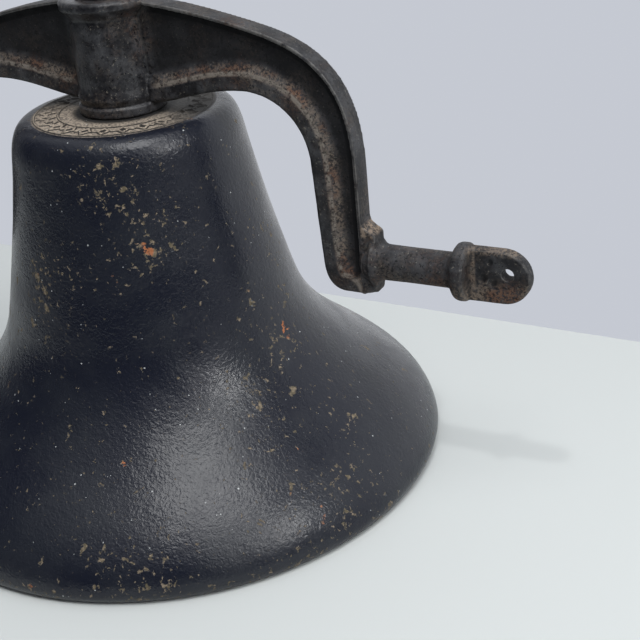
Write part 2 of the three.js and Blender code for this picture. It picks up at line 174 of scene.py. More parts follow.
def facing(tree, direction, low, high):
    """Rises from 0 to 1 as the direction looked in turns towards another one."""
    place = tree.nodes.new("ShaderNodeTexCoord")
    along = tree.nodes.new("ShaderNodeVectorMath")
    along.operation = "DOT_PRODUCT"
    put(tree, along.inputs[0], place.outputs["Generated"])
    along.inputs[1].default_value = studio(*direction).normalized()
    ramp = tree.nodes.new("ShaderNodeMapRange")
    ramp.interpolation_type = "SMOOTHSTEP"
    ramp.inputs["From Min"].default_value = low
    ramp.inputs["From Max"].default_value = high
    put(tree, ramp.inputs["Value"], along.outputs["Value"])
    return ramp.outputs[0]


def add_world():
    """A pale studio: bright behind and to the right, darker in front and to the left."""
    world = bpy.data.worlds.new("studio")
    bpy.context.scene.world = world
    world.use_nodes = True
    tree = world.node_tree
    tree.nodes.clear()
    color = ROOM_DARK
    for direction, low, high, bright in ROOM_GLOWS:
        color = mixed(tree, facing(tree, direction, low, high), color, bright)
    path = tree.nodes.new("ShaderNodeLightPath")
    seen = mixed(tree, path.outputs["Is Camera Ray"], color, WALL_COLOR)
    glow = tree.nodes.new("ShaderNodeBackground")
    put(tree, glow.inputs["Color"], seen)
    out = tree.nodes.new("ShaderNodeOutputWorld")
    put(tree, out.inputs["Surface"], glow.outputs[0])


# ------------------------------------------------------------- shader graph

FLECK_ROUGHNESS = 0.64
FLECK_WARP = 0.4
FLECK_EDGE = 0.025                  # softness of a fleck's edge


class Graph:
    """A material's nodes, with one short method for each kind that is used."""

    def __init__(self, name, specular=0.5):
        self.material = bpy.data.materials.new(name)
        self.material.use_nodes = True
        self.tree = self.material.node_tree
        self.nodes = self.tree.nodes
        self.nodes.clear()
        self.shader = self.nodes.new("ShaderNodeBsdfPrincipled")
        self.shader.inputs["Specular IOR Level"].default_value = specular
        out = self.nodes.new("ShaderNodeOutputMaterial")
        self.put(out.inputs["Surface"], self.shader.outputs[0])
        self.place = self.nodes.new("ShaderNodeTexCoord").outputs["Object"]
        self.x, self.y, self.z = self.split(self.place)

    def put(self, socket, value):
        put(self.tree, socket, value)

    def noise(self, scale, detail=3, rough=0.5, warp=0.0):
        """Noise of a number of waves per metre, mostly between 0.3 and 0.7."""
        node = self.nodes.new("ShaderNodeTexNoise")
        self.put(node.inputs["Vector"], self.place)
        node.inputs["Scale"].default_value = scale
        node.inputs["Detail"].default_value = detail
        node.inputs["Roughness"].default_value = rough
        node.inputs["Distortion"].default_value = warp
        return node.outputs["Fac"]

    def cells(self, scale, output="Distance"):
        node = self.nodes.new("ShaderNodeTexVoronoi")
        self.put(node.inputs["Vector"], self.place)
        node.inputs["Scale"].default_value = scale
        return node.outputs[output]

    def painted(self, name):
        """A value that the mesh code left on each vertex."""
        node = self.nodes.new("ShaderNodeAttribute")
        node.attribute_name = name
        return node.outputs["Fac"]

    def math(self, kind, first, second=0.0, clamp=False):
        node = self.nodes.new("ShaderNodeMath")
        node.operation = kind
        node.use_clamp = clamp
        self.put(node.inputs[0], first)
        self.put(node.inputs[1], second)
        return node.outputs[0]

    def plus(self, first, second):
        return self.math("ADD", first, second)

    def times(self, first, second):
        return self.math("MULTIPLY", first, second)

    def highest(self, *values):
        """The largest of two or more values."""
        most = values[0]
        for value in values[1:]:
            most = self.math("MAXIMUM", most, value)
        return most

    def ramp(self, value, low, high, to_low=0.0, to_high=1.0):
        """Rises or falls smoothly as the value goes from low to high."""
        node = self.nodes.new("ShaderNodeMapRange")
        node.interpolation_type = "SMOOTHSTEP"
        self.put(node.inputs["Value"], value)
        node.inputs["From Min"].default_value = low
        node.inputs["From Max"].default_value = high
        node.inputs["To Min"].default_value = to_low
        node.inputs["To Max"].default_value = to_high
        return node.outputs[0]

    def band(self, value, low, high, soft):
        """1 between two values, falling to 0 a soft distance outside them."""
        rise = self.ramp(value, low - soft, low)
        return self.times(rise, self.ramp(value, high + soft, high))

    def mix(self, amount, first, second):
        return mixed(self.tree, amount, first, second)

    def split(self, vector):
        node = self.nodes.new("ShaderNodeSeparateXYZ")
        self.put(node.inputs[0], vector)
        return node.outputs

    def near(self, center, reach):
        """1 at a place, falling to 0 at a distance from it."""
        node = self.nodes.new("ShaderNodeVectorMath")
        node.operation = "DISTANCE"
        self.put(node.inputs[0], self.place)
        node.inputs[1].default_value = center
        return self.ramp(node.outputs["Value"], reach, 0.0)

    def flecks(self, scale, rare, likely=0.0, gain=0.0, detail=3):
        """Ragged flecks: noise above a level, which falls where they are likely."""
        level = self.noise(scale, detail, FLECK_ROUGHNESS, FLECK_WARP)
        if gain:
            level = self.plus(level, self.times(likely, gain))
        return self.ramp(level, rare, rare + FLECK_EDGE)

    def bump(self, height, distance, under=None):
        node = self.nodes.new("ShaderNodeBump")
        node.inputs["Distance"].default_value = distance
        self.put(node.inputs["Height"], height)
        if under:
            self.put(node.inputs["Normal"], under)
        return node.outputs[0]

    def finish(self, color, rough, normal, metallic=0.0):
        self.put(self.shader.inputs["Base Color"], color)
        self.put(self.shader.inputs["Roughness"], rough)
        self.put(self.shader.inputs["Normal"], normal)
        self.put(self.shader.inputs["Metallic"], metallic)
        return self.material


# ------------------------------------------------------------------ finishes

PAINT_DEEP = (0.0065, 0.0080, 0.0150, 1)
PAINT_WORN = (0.0130, 0.0150, 0.0210, 1)
OLIVE_RUST = (0.100, 0.080, 0.045, 1)
TAN_RUST = (0.260, 0.205, 0.145, 1)
ORANGE_RUST = (0.420, 0.130, 0.040, 1)
# painted highlight: the colour of tiny glints on the paint
PAINTED_GLINT = (0.50, 0.52, 0.52, 1)
CROWN_DUST = (0.370, 0.310, 0.245, 1)
CROWN_SOIL = (0.035, 0.030, 0.026, 1)
CLEAN_DARK = (0.020, 0.020, 0.021, 1)
CLEAN_LIGHT = (0.075, 0.068, 0.060, 1)
GROOVE_BLACK = (0.008, 0.007, 0.006, 1)
# painted contact shadow round the yoke's foot
FOOT_SHADOW_BLACK = (0.012, 0.011, 0.010, 1)
INSIDE_RUST = (0.055, 0.030, 0.018, 1)
INSIDE_DARK = (0.016, 0.013, 0.012, 1)

LIP_RUST_HEIGHT = (0.020, 0.006)    # rust grows between these heights, downwards
CROWN_HEIGHT = (0.2815, 0.2828)     # the flat crown begins between these heights
CROWN_EDGE = 67.5 * MM              # the dusty band on the crown ends here
FOOT_SHADOW_EDGE = (0.041, 0.034)          # radii of the painted contact shadow round the yoke's foot
DUSTY_SPOT = (0.000, -0.072, 0.283)  # the crown's dust lies round this point
DUSTY_REACH = 0.115

# places on the shell where the paint has failed most: angle, height, reach
RUST_PATCHES = (
    (-64, 0.252, 0.050),
    (-52, 0.215, 0.045),
    (-6, 0.125, 0.055),
    (-24, 0.078, 0.060),
    (-10, 0.050, 0.050),
    (-66, 0.016, 0.060),
    (-24, 0.016, 0.070),
    (5, 0.180, 0.040),
    (70, 0.060, 0.080),
    (118, 0.200, 0.070),
    (150, 0.040, 0.090),
    (200, 0.120, 0.080),
    (236, 0.030, 0.080),
    (262, 0.180, 0.060),
)


def shell_radius(height):
    """Rough outer radius of the shell at a height, enough to place a patch on it."""
    return 0.086 + 0.130 * (1 - min(1, height / 0.22)) ** 2.2


def rust_likelihood(graph):
    total = 0.0
    for degrees, height, reach in RUST_PATCHES:
        angle = math.radians(degrees)
        radius = shell_radius(height)
        center = (radius * math.cos(angle), radius * math.sin(angle), height)
        total = graph.highest(total, graph.near(center, reach))
    return total


def shell_rust(graph):
    """Where rust has broken through the paint, and its colour there."""
    lip = graph.ramp(graph.z, *LIP_RUST_HEIGHT)
    likely = graph.highest(rust_likelihood(graph), graph.times(lip, 0.75))
    likely = graph.times(likely, graph.ramp(graph.noise(34, 3, 0.6), 0.30, 0.62))
    fleck = graph.flecks(250, 0.660, likely, 0.11, 4)
    blotch = graph.flecks(95, 0.665, likely, 0.105, 6)
    light = graph.ramp(graph.noise(420, 3, 0.6), 0.42, 0.66)
    tone = graph.mix(light, OLIVE_RUST, TAN_RUST)
    orange = graph.times(graph.ramp(graph.noise(47, 2), 0.69, 0.74), 0.8)
    return graph.highest(fleck, blotch), graph.mix(orange, tone, ORANGE_RUST)


def crown_dust_and_foot_shadow(graph, radius):
    """Dust on the crown: thick towards the front, rubbed away behind the foot; and a
    painted contact shadow round the foot.
    """
    grain = graph.noise(520, 4, 0.7)
    dust = graph.mix(graph.ramp(grain, 0.34, 0.58), CROWN_SOIL, CROWN_DUST)
    dusty = graph.near(DUSTY_SPOT, DUSTY_REACH)
    clean = graph.mix(grain, CLEAN_DARK, CLEAN_LIGHT)
    dust = graph.mix(graph.ramp(dusty, 0.05, 0.45), clean, dust)
    groove = graph.band(graph.painted("raised"), 0.12, 0.55, 0.12)
    groove = graph.times(groove, graph.ramp(dusty, 0.0, 0.5, 0.25, 0.95))
    dust = graph.mix(groove, dust, GROOVE_BLACK)
    # painted contact shadow: a black ring round the yoke's foot
    return graph.mix(graph.ramp(radius, *FOOT_SHADOW_EDGE), dust, FOOT_SHADOW_BLACK)


def painted_glints(graph):
    """Painted highlights: a few tiny bright points of several sizes, scattered by a fixed
    pattern.
    """
    chance = graph.split(graph.cells(520, "Color"))
    size = graph.times(chance[1], 0.34)
    inside = graph.math("LESS_THAN", graph.cells(520), size)
    return graph.times(inside, graph.math("GREATER_THAN", chance[0], 0.982))


def orange_peel(graph, matte):
    normal = graph.bump(graph.noise(55, 3, 0.5), 0.35 * MM)
    normal = graph.bump(graph.noise(400, 2, 0.5, 0.6), 0.36 * MM, normal)
    normal = graph.bump(graph.noise(900, 2, 0.6), 0.08 * MM, normal)
    return graph.bump(matte, -0.12 * MM, normal)


def shell_paint():
    graph = Graph("shell_paint", specular=0.42)
    worn = graph.ramp(graph.noise(16, 5, 0.6), 0.40, 0.68)
    color = graph.mix(worn, PAINT_DEEP, PAINT_WORN)
    rust, tone = shell_rust(graph)
    color = graph.mix(graph.times(rust, 0.82), color, tone)

    squares = graph.plus(graph.times(graph.x, graph.x), graph.times(graph.y, graph.y))
    radius = graph.math("SQRT", squares)
    crown = graph.ramp(radius, CROWN_EDGE + 1 * MM, CROWN_EDGE - 1 * MM)
    crown = graph.times(graph.ramp(graph.z, *CROWN_HEIGHT), crown)
    color = graph.mix(graph.times(crown, 0.9), color, crown_dust_and_foot_shadow(graph, radius))

    inside = graph.painted("inside")
    rusty = graph.ramp(graph.noise(60, 5, 0.7), 0.40, 0.62)
    color = graph.mix(inside, color, graph.mix(rusty, INSIDE_DARK, INSIDE_RUST))
    # painted highlights: tiny bright glints scattered over the paint
    color = graph.mix(graph.times(painted_glints(graph), 0.7), color, PAINTED_GLINT)

    matte = graph.highest(rust, crown, inside)
    gloss = graph.ramp(graph.noise(22, 4, 0.6), 0.35, 0.68, 0.21, 0.33)
    rough = graph.plus(gloss, graph.times(matte, 0.45))
    return graph.finish(color, rough, orange_peel(graph, matte))


IRON_BLACK = (0.009, 0.009, 0.011, 1)
IRON_GREY = (0.045, 0.046, 0.050, 1)
# worn paint on edges, and a painted highlight along them
IRON_WORN_EDGE_AND_HIGHLIGHT = (0.150, 0.146, 0.140, 1)
IRON_RUST = (0.145, 0.077, 0.048, 1)
IRON_BROWN = (0.180, 0.142, 0.111, 1)
IRON_RIDGE = (0.210, 0.185, 0.158, 1)
IRON_TAN = (0.240, 0.185, 0.140, 1)
# black of casting pits, and of painted shade in the yoke's recesses and hollows
PIT_AND_SHADE_BLACK = (0.003, 0.003, 0.004, 1)
IRON_SPECK = (0.230, 0.210, 0.175, 1)

# zones of the yoke, each given by the two places between which it fades in:
# distances from the middle and heights in metres
ARM_START = (0.030, 0.040)
ARM_END = (0.188, 0.1855)
HUB_END = (0.040, 0.034)
LEG_START = (0.182, 0.187)
LEG_TOP = (0.275, 0.240)
JOURNAL_START = (0.196, 0.206)
JOURNAL_UNDERSIDE = (0.186, 0.170)
TAB_START = (0.262, 0.268)
TAB_HIGH_EDGE = (0.1985, 0.2015)

# distances in mm from the arm's back and from its belly
RIDGE_MM = (11.6, 13.2, 2.0)        # from, to and softness
COVE_MM = (13.5, 17.0, 4.0)
UNDER_FLANGE_MM = (3.0, 7.0, 4.0)
WEB_FROM_BELLY_MM = (15.5, 24.0)
WEB_FROM_BACK_MM = (1.5, 3.5)
BELLY_MM = (1.8, 0.6)
BEHIND_FLANGE = (7.9 * MM, 6.6 * MM)  # from the middle of the flange's width

# tan patches where the boss leaves the leg and at the tab's root: from, to, softness
FILLET_OUT = (0.1905, 0.1970, 3 * MM)
FILLET_UP = (0.2055, 0.2110, 3.5 * MM)
TAB_ROOT = (0.2660, 0.2690, 1.8 * MM)


def cast_grain(graph, color, coarse, fine):
    """Light and dark specks in the skin of a casting, and the bump that goes with them."""
    speck = graph.flecks(560, 0.635)
    color = graph.mix(graph.times(speck, 0.42), color, IRON_SPECK)
    pit = graph.flecks(430, 0.580)
    color = graph.mix(graph.times(pit, 0.75), color, PIT_AND_SHADE_BLACK)
    normal = graph.bump(graph.noise(190, 5, 0.65), coarse)
    return color, graph.bump(graph.noise(700, 3, 0.6), fine, normal)


def yoke_rust(graph, out, ridge, cove, low_end):
    """Where the yoke's skin has rusted, and the colour of the rust there."""
    patch = graph.ramp(graph.noise(24, 5, 0.7), 0.42, 0.66)
    fine = graph.ramp(graph.noise(480, 3, 0.7), 0.38, 0.60)
    likely = graph.plus(graph.times(patch, 0.35), graph.times(cove, 0.55))
    likely = graph.plus(likely, graph.times(low_end, 0.80))
    rust = graph.math("MULTIPLY", likely, fine, clamp=True)
    tone = graph.mix(graph.ramp(graph.noise(50, 3), 0.48, 0.64), IRON_BROWN, IRON_RUST)
    worn = graph.times(ridge, graph.ramp(graph.noise(210, 4, 0.65), 0.30, 0.55))
    rust = graph.highest(rust, graph.times(worn, 0.85))
    tone = graph.mix(worn, tone, IRON_RIDGE)

    fillet = graph.times(graph.band(out, *FILLET_OUT), graph.band(graph.z, *FILLET_UP))
    root = graph.times(graph.band(out, *TAB_ROOT), 0.75)
    tan = graph.ramp(graph.noise(260, 4, 0.7), 0.34, 0.60)
    tan = graph.times(graph.highest(fillet, root), tan)
    rust = graph.highest(rust, graph.times(tan, 0.85))
    return rust, graph.mix(tan, tone, IRON_TAN)


def arm_shade(graph, arm, from_back, from_belly):
    """Painted shade: black in the recess of the arm, in the corner under its flange and on
    its belly.
    """
    inset = graph.ramp(graph.math("ABSOLUTE", graph.y), *BEHIND_FLANGE)
    under_flange = graph.times(graph.band(from_back, *UNDER_FLANGE_MM), 0.94)
    web = graph.times(
        graph.ramp(from_belly, *WEB_FROM_BELLY_MM),
        graph.ramp(from_back, *WEB_FROM_BACK_MM),
    )
    recess = graph.times(graph.highest(under_flange, graph.times(web, 0.72)), inset)
    belly = graph.times(graph.ramp(from_belly, *BELLY_MM), 0.9)
    return graph.times(graph.highest(recess, belly), arm)


def yoke_roughness(graph, out, rust, shade):
    """Smoothest on the hub, and matt on the leg, in rust and in the painted shade."""
    hub = graph.ramp(out, *HUB_END)
    leg = graph.times(graph.ramp(graph.z, *LEG_TOP), graph.ramp(out, *LEG_START))
    rough = graph.ramp(graph.noise(150, 4), 0.3, 0.7, 0.40, 0.56)
    rough = graph.plus(rough, graph.times(hub, -0.14))
    rough = graph.plus(rough, graph.times(leg, 0.22))
    rough = graph.plus(rough, graph.times(rust, 0.25))
    return graph.math("ADD", rough, graph.times(shade, 0.40), clamp=True)


def yoke_iron():
    graph = Graph("yoke_iron", specular=0.3)
    relief = graph.painted("relief")
    from_back = graph.painted("from_back")
    from_belly = graph.painted("from_belly")
    out = graph.math("ABSOLUTE", graph.x)
    arm = graph.times(graph.ramp(out, *ARM_END), graph.ramp(out, *ARM_START))
    worn = graph.ramp(graph.noise(75, 5, 0.68), 0.38, 0.66)
    color = graph.mix(worn, IRON_BLACK, IRON_GREY)

    ridge = graph.times(graph.band(from_belly, *RIDGE_MM), arm)
    cove = graph.times(graph.band(from_belly, *COVE_MM), arm)
    underside = graph.ramp(graph.z, *JOURNAL_UNDERSIDE)
    underside = graph.times(underside, graph.ramp(out, *JOURNAL_START))
    high_edge = graph.ramp(graph.z, *TAB_HIGH_EDGE)
    high_edge = graph.times(high_edge, graph.ramp(out, *TAB_START))
    low_end = graph.highest(underside, graph.times(high_edge, 0.8))
    rust, tone = yoke_rust(graph, out, ridge, cove, low_end)
    color = graph.mix(rust, color, tone)

    color, normal = cast_grain(graph, color, 0.40 * MM, 0.12 * MM)
    shade = arm_shade(graph, arm, from_back, from_belly)
    # painted shade: black in the arm's recess, under its flange and on its belly
    color = graph.mix(shade, color, PIT_AND_SHADE_BLACK)

    # lighter on sharp convex edges: partly worn paint, partly a painted highlight
    edge = graph.ramp(relief, 0.20, 0.46)
    edge = graph.times(edge, graph.ramp(graph.noise(130, 3), 0.30, 0.54))
    color = graph.mix(graph.times(edge, 0.60), color, IRON_WORN_EDGE_AND_HIGHLIGHT)
    # painted shade: darker in the hollows of the surface
    hollow_shade = graph.ramp(relief, -0.08, -0.35)
    color = graph.mix(graph.times(hollow_shade, 0.7), color, PIT_AND_SHADE_BLACK)
    return graph.finish(color, yoke_roughness(graph, out, rust, shade), normal)


CLAPPER_DARK = (0.028, 0.020, 0.015, 1)
CLAPPER_RUST = (0.120, 0.058, 0.030, 1)
CLAPPER_EDGE = (0.16, 0.13, 0.11, 1)
STRUCK_IRON = (0.20, 0.19, 0.18, 1)
STRUCK_DEPTH = (0.0235, 0.0258)     # the iron is bare from here on, out along Y
BALL_TOP = (0.085, 0.070)           # and only below this height

STEEL_DARK = (0.045, 0.037, 0.033, 1)
STEEL_BARE = (0.100, 0.085, 0.075, 1)
STEEL_RUST = (0.150, 0.066, 0.031, 1)
STEEL_EDGE = (0.22, 0.20, 0.18, 1)


def clapper_iron():
    graph = Graph("clapper_iron")
    patch = graph.ramp(graph.noise(60, 5, 0.7), 0.36, 0.60)
    color = graph.mix(patch, CLAPPER_DARK, CLAPPER_RUST)
    struck = graph.ramp(graph.math("ABSOLUTE", graph.y), *STRUCK_DEPTH)
    struck = graph.times(struck, graph.ramp(graph.z, *BALL_TOP))
    color = graph.mix(graph.times(struck, 0.8), color, STRUCK_IRON)
    edge = graph.ramp(graph.painted("relief"), 0.12, 0.4)
    color = graph.mix(edge, color, CLAPPER_EDGE)
    color, normal = cast_grain(graph, color, 0.35 * MM, 0.10 * MM)
    rough = graph.ramp(patch, 0.0, 1.0, 0.5, 0.82)
    return graph.finish(color, rough, normal, graph.times(struck, 0.7))


def rusted_steel():
    graph = Graph("rusted_steel")
    bare = graph.noise(120, 5, 0.7)
    base = graph.mix(bare, STEEL_DARK, STEEL_BARE)
    patch = graph.ramp(graph.noise(95, 5, 0.7), 0.40, 0.60)
    color = graph.mix(patch, base, STEEL_RUST)
    edge = graph.ramp(graph.painted("relief"), 0.06, 0.25)
    color = graph.mix(graph.times(edge, 0.6), color, STEEL_EDGE)
    rough = graph.ramp(patch, 0.0, 1.0, 0.42, 0.85)
    metallic = graph.ramp(patch, 0.0, 1.0, 0.7, 0.1)
    normal = graph.bump(graph.noise(420, 4, 0.65), 0.18 * MM)
    normal = graph.bump(graph.noise(1500, 3, 0.65), 0.05 * MM, normal)
    return graph.finish(color, rough, normal, metallic)


# ------------------------------------------------------------ mesh helpers

def link(name, mesh, body, slot, material, *nodes):
    """A finished mesh becomes a visible piece that stands for CAD nodes."""
    piece = bpy.data.objects.new(name, mesh)
    bpy.context.scene.collection.objects.link(piece)
    mesh.materials.clear()
    mesh.materials.append(material)
    mesh.polygons.foreach_set("use_smooth", [True] * len(mesh.polygons))
    mesh.update()
    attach(piece, body)
    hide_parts(*nodes)


def coordinates(mesh):
    flat = np.empty(len(mesh.vertices) * 3)
    mesh.vertices.foreach_get("co", flat)
    return flat.reshape(-1, 3)


def set_coordinates(mesh, points):
    mesh.vertices.foreach_set("co", np.ascontiguousarray(points, float).ravel())
    mesh.update()


def normals(mesh):
    flat = np.empty(len(mesh.vertices) * 3)
    mesh.vertices.foreach_get("normal", flat)
    return flat.reshape(-1, 3)


def paint(mesh, name, values):
    """Leaves a value on each vertex, for the material to read."""
    layer = mesh.attributes.new(name, "FLOAT", "POINT")
    layer.data.foreach_set("value", np.ascontiguousarray(values, np.float32))


def paint_relief(mesh, passes):
    """How far each point stands out of its evened surroundings, in mm."""
    points = coordinates(mesh)
    out = (points - evened(mesh, points, passes)) * normals(mesh)
    paint(mesh, "relief", out.sum(1) / MM)


def evened(mesh, points, passes):
    """The points after drifting towards their neighbours a number of times."""
    ends = np.empty(len(mesh.edges) * 2, int)
    mesh.edges.foreach_get("vertices", ends)
    first, second = ends.reshape(-1, 2).T
    here = np.concatenate([first, second])
    other = np.concatenate([second, first])
    count = np.bincount(here, minlength=len(points))[:, None]
    for _ in range(passes):
        total = [np.bincount(here, points[other, axis], len(points)) for axis in range(3)]
        points = 0.3 * points + 0.7 * np.stack(total, 1) / count
    return points


def rounded_mesh(node, voxel, passes):
    """A CAD node's shape as a fine even mesh with its edges and corners eased."""
    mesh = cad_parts[node].data.copy()
    work = bmesh.new()
    work.from_mesh(mesh)
    bmesh.ops.remove_doubles(work, verts=work.verts, dist=1e-6)
    work.to_mesh(mesh)
    work.free()
    rough = bpy.data.objects.new("work", mesh)
    bpy.context.scene.collection.objects.link(rough)
    remesh = rough.modifiers.new("even", "REMESH")
    remesh.mode = "VOXEL"
    remesh.voxel_size = voxel
    ease = rough.modifiers.new("ease", "SMOOTH")
    ease.factor = 0.5
    ease.iterations = passes
    graph = bpy.context.evaluated_depsgraph_get()
    result = bpy.data.meshes.new_from_object(rough.evaluated_get(graph))
    bpy.data.objects.remove(rough)
    return result


def cast_surface(mesh, *layers):
    """Moves the surface in and out by noise: layers are (waves per metre, depth)."""
    points = coordinates(mesh)
    lift = np.zeros(len(points))
    for waves, depth in layers:
        lift += depth * np.array([noise.noise(Vector(p) * waves) for p in points])
    set_coordinates(mesh, points + normals(mesh) * lift[:, None])


def bezier(p0, p1, p2, p3, step):
    """Points in metres along a Bezier stretch given in mm, without the first one."""
    p0, p1, p2, p3 = (np.array(p, float) * MM for p in (p0, p1, p2, p3))
    length = np.linalg.norm(p1 - p0) + np.linalg.norm(p2 - p1) + np.linalg.norm(p3 - p2)
    count = max(2, round(length / step))
    t = (np.arange(count) + 1)[:, None] / count
    start = (1 - t) ** 3 * p0 + 3 * (1 - t) ** 2 * t * p1
    return list(start + 3 * (1 - t) * t ** 2 * p2 + t ** 3 * p3)


# -------------------------------------------------------------- bell shell

LIP_INNER_MM = 201
LIP_OUTER_MM = 209
BOLT_HOLE_MM = 9
CROWN_RIM_MM = 69                   # the flat crown reaches this radius outside
INNER_RIM_MM = 62                   # and this one inside
CROWN_THICKNESS_MM = 11
BELL_STEPS = 420
OUTER_STEP = 1.7 * MM
INNER_STEP = 5.0 * MM
CROWN_STEP = 0.7 * MM
ORNAMENT_RADIUS = 57 * MM
ORNAMENT_COUNT = 26
ORNAMENT_HEIGHT = 1.2 * MM
LOZENGE_HALF_LENGTH = 5.4 * MM
LOZENGE_HALF_WIDTH = 8.2 * MM
DOT_RADIUS = 2.2 * MM
RING_OFFSET = 9.0 * MM              # a fine ring on each side of the lozenges
RING_HALF_WIDTH = 0.9 * MM


def bell_profile():
    """Points in radius and height: the outside from the lip up, the inside back down."""
    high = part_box("bell_shell")[1]
    mouth = high.x / MM
    crown = high.z / MM
    under = crown - CROWN_THICKNESS_MM
    rim = CROWN_RIM_MM
    outside = [np.array((LIP_OUTER_MM, 0)) * MM]
    outside += bezier((LIP_OUTER_MM, 0), (213, 0), (mouth, 4), (mouth, 9), OUTER_STEP)
    outside += bezier((mouth, 9), (214.5, 25), (191.4, 45), (174, 59), OUTER_STEP)
    outside += bezier((174, 59), (144, 83), (120.5, 107), (112, 140), OUTER_STEP)
    outside += bezier((112, 140), (102, 178), (92, 222), (86, 259), OUTER_STEP)
    outside += bezier((86, 259), (84, 271), (81, crown), (rim, crown), OUTER_STEP)
    crown_count = round((rim - BOLT_HOLE_MM) * MM / CROWN_STEP)
    across = np.linspace(rim, BOLT_HOLE_MM, crown_count)[1:]
    outside += [np.array((r, crown)) * MM for r in across]
    rim = INNER_RIM_MM
    inside = [np.array((r, under)) * MM for r in (BOLT_HOLE_MM, 35, rim)]
    inside += bezier((rim, under), (72, under), (75.5, 264), (77, 254), INNER_STEP)
    inside += bezier((77, 254), (83, 215), (92.8, 174), (102.5, 137), INNER_STEP)
    inside += bezier((102.5, 137), (110, 104), (133, 79), (158, 57), INNER_STEP)
    inside += bezier((158, 57), (174, 43), (197, 18), (LIP_INNER_MM, 0), INNER_STEP)
    return outside, inside


def ornament(radius, angle):
    """Raised lozenges and dots round the crown, from 0 on the ground to 1 on top."""
    period = 2 * math.pi / ORNAMENT_COUNT
    along = ((angle / period + 0.5) % 1.0 - 0.5) * period * radius
    across = radius - ORNAMENT_RADIUS
    inner = 1 - np.abs(along) / LOZENGE_HALF_LENGTH - np.abs(across) / LOZENGE_HALF_WIDTH
    lozenge = np.clip(inner * 5, 0, 1) - np.clip((inner - 0.42) * 6, 0, 0.8)
    from_dot = np.abs(np.abs(along) - period * radius / 2)
    dot = np.clip((1 - np.hypot(from_dot, across) / DOT_RADIUS) * 3, 0, 1)
    from_ring = np.abs(np.abs(across) - RING_OFFSET)
    ring = np.clip((1 - from_ring / RING_HALF_WIDTH) * 2, 0, 0.7)
    return np.maximum(np.maximum(lozenge, dot), ring)


def bell_mesh():
    """The profile turned about Z, with the ornament raised on its crown."""
    outside, inside = bell_profile()
    profile = np.array(outside + inside)
    rows = len(profile)
    angle = np.arange(BELL_STEPS) * 2 * math.pi / BELL_STEPS
    radius = np.repeat(profile[:, :1], BELL_STEPS, 1)
    height = np.repeat(profile[:, 1:], BELL_STEPS, 1)
    last = len(outside) - 1
    on_crown = (np.arange(rows) <= last)[:, None] & (height > profile[last, 1] - 1e-6)
    raised = np.where(on_crown, ornament(radius, angle[None, :]), 0)
    height = height + ORNAMENT_HEIGHT * raised
    points = np.stack([radius * np.cos(angle), radius * np.sin(angle), height], -1)
    faces = []
    for row in range(rows):
        below = row * BELL_STEPS
        above = (row + 1) % rows * BELL_STEPS
        for step in range(BELL_STEPS):
            after = (step + 1) % BELL_STEPS
            faces.append((below + step, below + after, above + after, above + step))
    mesh = bpy.data.meshes.new("bell_shell_cast")
    mesh.from_pydata(points.reshape(-1, 3).tolist(), [], faces)
    mesh.update()
    paint(mesh, "raised", raised.ravel())
    paint(mesh, "inside", np.repeat(np.arange(rows) > last, BELL_STEPS))
    return mesh


def build_bell():
    mesh = bell_mesh()
    cast_surface(mesh, (14, 0.35 * MM), (55, 0.12 * MM), (160, 0.05 * MM))
    points = coordinates(mesh)
    points[:, 2] = np.maximum(points[:, 2], 0)
    set_coordinates(mesh, points)
    link("bell_shell_cast", mesh, "bell", "shell_paint", shell_paint(), "bell_shell")


# -------------------------------------------------------------------- yoke

CAST_VOXEL = 0.9 * MM
ARM_STEP = 4 * MM
ARM_CORNER_MM = 189.3               # the leg's outer face, from the middle
LEG_BOTTOM_MM = 160.8
WASHER_RISE_MM = 1.3                # from the arm's top to the washer's underside

# hammer dents in the front of a tab: distance out, height, reach
TAB_DENTS_MM = ((282.3, 179.6, 3.4), (275.3, 182.6, 3.4), (280.6, 194.8, 2.6))
TAB_FRONT = -3 * MM
DENT_DEPTH = 1.6 * MM
DENT_STRETCH = 0.8                  # makes them a little taller than wide

COVE_PASSES = 10
COVE_START = 12.6                   # mm from the arm's inner edge
COVE_END = 21.5
BEAD_HALF = 7.8                     # mm from the middle of the yoke, at the bead
WEB_HALF = 3.5


def arm_lines():
    """The arm's outer and inner outlines in X and Z, from the middle outwards."""
    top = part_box("top_washer")[0].z / MM - WASHER_RISE_MM
    corner = ARM_CORNER_MM
    bottom = LEG_BOTTOM_MM
    outer = [np.array((0, top)) * MM]
    outer += bezier((0, top), (38, top), (80, 356), (121, 344.7), ARM_STEP)
    outer += bezier((121, 344.7), (162, 333.4), (corner, 312.5), (corner, 255), ARM_STEP)
    outer += bezier((corner, 255), (corner, 220), (corner, 190), (corner, bottom), ARM_STEP)
    inner = [np.array((30, 289.6)) * MM]
    inner += bezier((30, 289.6), (58, 293), (78, 302.2), (106, 302.2), ARM_STEP)
    inner += bezier((106, 302.2), (131, 302), (152, 284), (154.3, 257), ARM_STEP)
    inner += bezier((154.3, 257), (155.5, 230), (156.5, 205), (157.6, 182), ARM_STEP)
    inner += bezier((157.6, 182), (158, 170), (163, bottom), (174, bottom), ARM_STEP)
    return np.array(outer), np.array(inner)


def distance_to(line, across, up):
    """Distance in mm from each point to a line of points in X and Z."""
    nearest = np.full(len(across), np.inf)
    for start, end in zip(line[:-1], line[1:]):
        along = end - start
        t = ((across - start[0]) * along[0] + (up - start[1]) * along[1]) / (along @ along)
        t = np.clip(t, 0, 1)
        gap = np.hypot(across - start[0] - t * along[0], up - start[1] - t * along[1])
        nearest = np.minimum(nearest, gap)
    return nearest / MM


def dent_tabs(mesh):
    """Hammer dents in the front face of both tabs."""
    points = coordinates(mesh)
    front = points[:, 1] < TAB_FRONT
    for x, z, reach in TAB_DENTS_MM:
        rise = (points[:, 2] - z * MM) * DENT_STRETCH
        away = np.hypot(np.abs(points[:, 0]) - x * MM, rise)
        depth = DENT_DEPTH * np.clip(1 - away / (reach * MM), 0, 1) ** 0.7
        points[:, 1] += np.where(front, depth, 0)
    set_coordinates(mesh, points)


